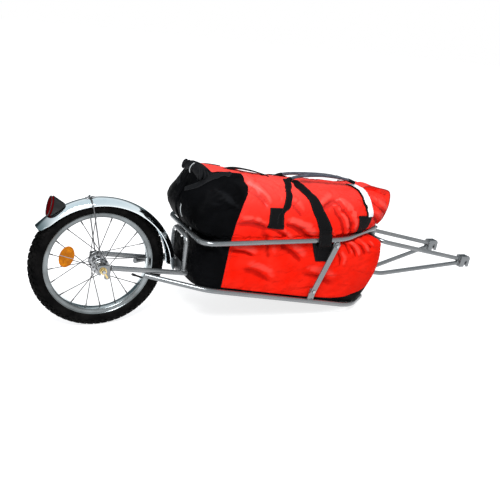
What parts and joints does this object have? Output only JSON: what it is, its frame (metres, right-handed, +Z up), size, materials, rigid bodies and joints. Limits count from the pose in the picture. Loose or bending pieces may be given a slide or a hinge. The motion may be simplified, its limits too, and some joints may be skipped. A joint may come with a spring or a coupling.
{
  "type": "bike cargo trailer",
  "caption": "Single-wheel bicycle cargo trailer: bent-tube tray with a strapped bag, spoked wheel under a mudguard, and a swivelling yoke that drops over a bicycle's rear axle.",
  "frame": {"origin": "on the ground, below the middle of the overall length, in the symmetry plane", "axes": "+X forwards from the wheel to the hitch, +Y to the left, +Z up"},
  "size_m": [1.6412, 0.3372, 0.5025],
  "materials": {
    "tyre": "matt black rubber with a knobbly tread",
    "rubber": "matt black rubber",
    "chrome": "bright chrome plate",
    "black_plastic": "satin black plastic",
    "steel": "plain zinc-plated steel",
    "dark_steel": "dark blue-black steel",
    "zinc_gold": "yellow zinc-plated steel",
    "frame_paint": "grey metallic paint",
    "amber_lens": "amber prismatic plastic",
    "red_lens": "red prismatic plastic",
    "bag_fabric": "coated vermilion fabric with a black rear section and black webbing"
  },
  "bodies": {
    "frame": {"axle": "dark_steel", "axle_cone_right": "dark_steel", "axle_cone_left": "dark_steel", "lock_nut_right": "zinc_gold", "lock_nut_left": "zinc_gold", "dropout_right": "dark_steel", "dropout_left": "dark_steel", "tab_washer_right": "dark_steel", "tab_washer_left": "dark_steel", "axle_nut_right": "steel", "axle_nut_left": "steel", "blade_right": "frame_paint", "blade_left": "frame_paint", "lower_loop": "frame_paint", "upper_loop": "frame_paint", "rear_hoop": "frame_paint", "rail_bolt_right": "steel", "rail_bolt_left": "steel", "strut_right": "frame_paint", "strut_left": "frame_paint", "strut_tab_top_right": "frame_paint", "strut_tab_top_left": "frame_paint", "strut_tab_foot_right": "frame_paint", "strut_tab_foot_left": "frame_paint", "strut_bolt_top_right": "steel", "strut_bolt_top_left": "steel", "strut_bolt_foot_right": "steel", "strut_bolt_foot_left": "steel", "mudguard_bridge": "dark_steel", "mudguard": "chrome", "mudguard_bolt_lower": "steel", "mudguard_bolt_upper": "steel", "mudguard_stay": "steel", "stay_clip": "steel", "tail_reflector_housing": "black_plastic", "tail_reflector_lens": "red_lens", "upper_lug": "frame_paint", "lower_lug": "frame_paint", "kingpin": "steel", "kingpin_nut": "steel", "cargo_bag": "bag_fabric"},
    "wheel": {"tyre": "tyre", "inner_tube": "rubber", "rim": "chrome", "valve_cap": "black_plastic", "hub_shell": "steel", "wheel_reflector": "amber_lens", "ball_ring_right": "steel", "ball_ring_left": "steel", "spokes_right": "steel", "spokes_left": "steel"},
    "yoke": {"yoke_pivot_tube": "frame_paint", "yoke_upper_tube": "frame_paint", "yoke_arm_right": "frame_paint", "yoke_arm_left": "frame_paint", "hitch_channel_right": "frame_paint", "hitch_channel_left": "frame_paint"},
    "pin_right": {"hitch_pin_right": "steel"},
    "pin_left": {"hitch_pin_left": "steel"}
  },
  "joints": [
    {"name": "wheel_spin", "type": "hinge", "parent": "frame", "child": "wheel", "pos_m": [-0.61764, 0, 0.203], "axis": [0, 1, 0], "continuous": true},
    {"name": "yoke_swivel", "type": "hinge", "parent": "frame", "child": "yoke", "pos_m": [0.38917, 0, 0.15396], "axis": [0.0487, 0, 0.9988], "range_deg": [-45, 45]},
    {"name": "hitch_pin_right_slide", "type": "slide", "parent": "yoke", "child": "pin_right", "axis": [0.9988, 0, -0.0487], "range_m": [0, 0.04]},
    {"name": "hitch_pin_left_slide", "type": "slide", "parent": "yoke", "child": "pin_left", "axis": [0.9988, 0, -0.0487], "range_m": [0, 0.04]}
  ]
}
